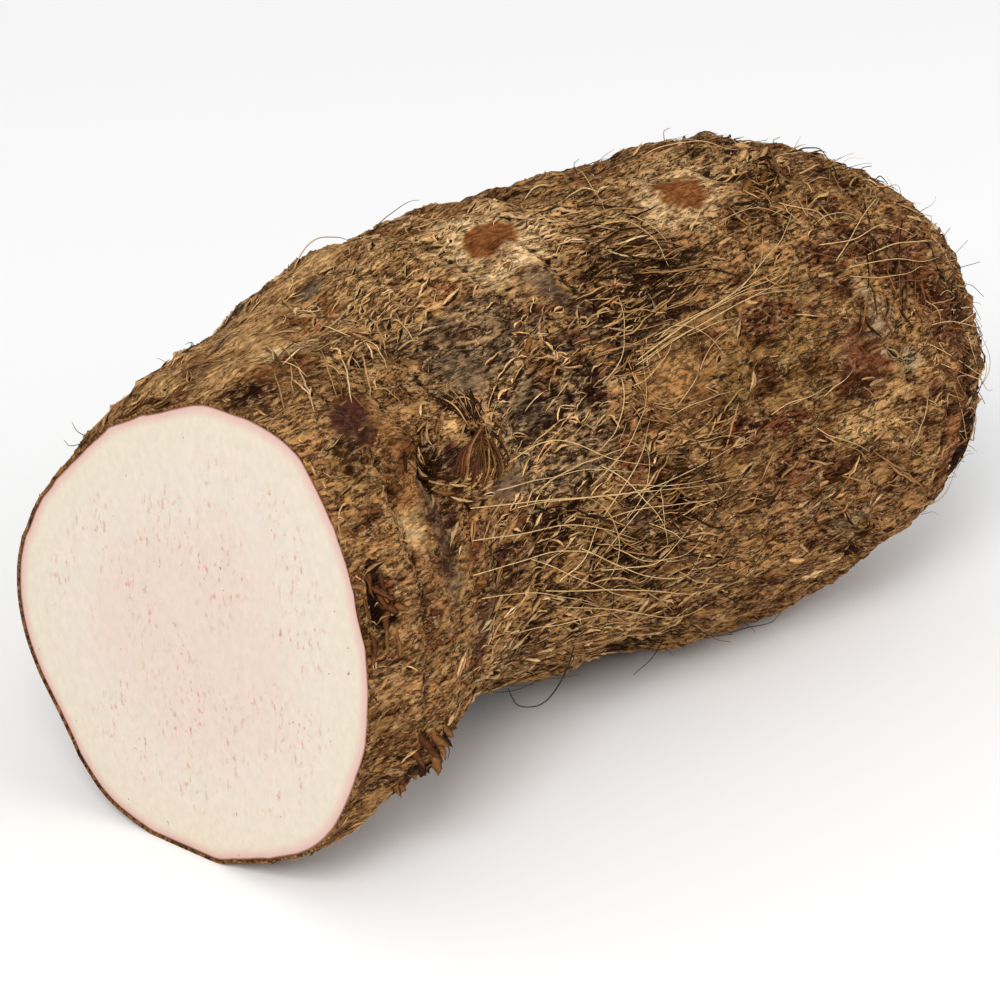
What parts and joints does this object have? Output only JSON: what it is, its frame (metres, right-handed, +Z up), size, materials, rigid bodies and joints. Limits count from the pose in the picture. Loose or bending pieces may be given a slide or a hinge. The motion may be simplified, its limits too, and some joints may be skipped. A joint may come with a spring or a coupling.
{
  "type": "taro root",
  "caption": "Large taro corm lying on its side, one end cut straight across to show pale flesh; bark with leaf-scar rings, side buds and a trimmed crown. A root vegetable.",
  "frame": {"origin": "under the middle of the corm, on the surface that it lies on", "axes": "+Z up; +X along the corm from the cut face to the crown; +Y to the far side as pictured"},
  "size_m": [0.205, 0.0996, 0.0955],
  "materials": {
    "bark": "dry corky golden-brown bark with a raised net, darker between the ridges, matt",
    "flesh": "fresh-cut starchy flesh, creamy white with a pinkish middle and fine flecks, half matt"
  },
  "bodies": {
    "root": {"taro_corm": "bark"}
  },
  "joints": []
}
